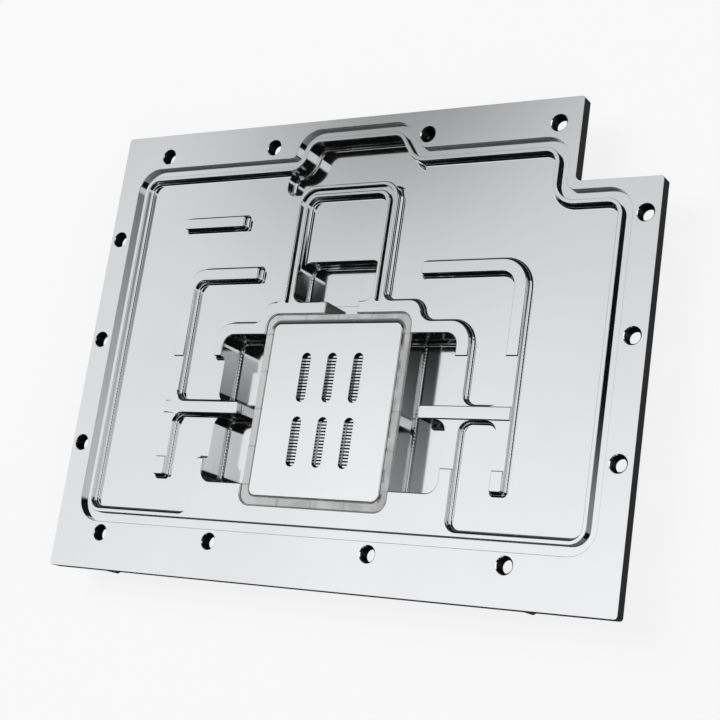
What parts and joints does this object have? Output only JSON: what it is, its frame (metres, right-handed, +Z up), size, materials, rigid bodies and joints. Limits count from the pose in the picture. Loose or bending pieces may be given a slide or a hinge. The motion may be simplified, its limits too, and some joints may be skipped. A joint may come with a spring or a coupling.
{
  "type": "gpu water block cold plate",
  "caption": "Plated copper cold plate of a GPU water block: milled flow channels, deep pockets, fine fins under a slotted jet plate, O-ring groove, tapped rim holes and standoffs.",
  "frame": {"origin": "middle of the plate's outline, level with the free ends of the standoffs", "axes": "+X along the plate's length towards the notched end, +Y along its width towards the ports, +Z up out of the water side"},
  "size_m": [0.16, 0.12, 0.012],
  "materials": {
    "nickel_plating": "mirror-polished nickel on copper",
    "plated_sheet": "polished nickel on thin sheet",
    "soft_frame": "pale translucent silicone",
    "standoff_plating": "plated brass"
  },
  "bodies": {
    "root": {"cold_plate": "nickel_plating", "jet_plate": "plated_sheet", "jet_plate_frame": "soft_frame", "standoffs": "standoff_plating"}
  },
  "joints": []
}
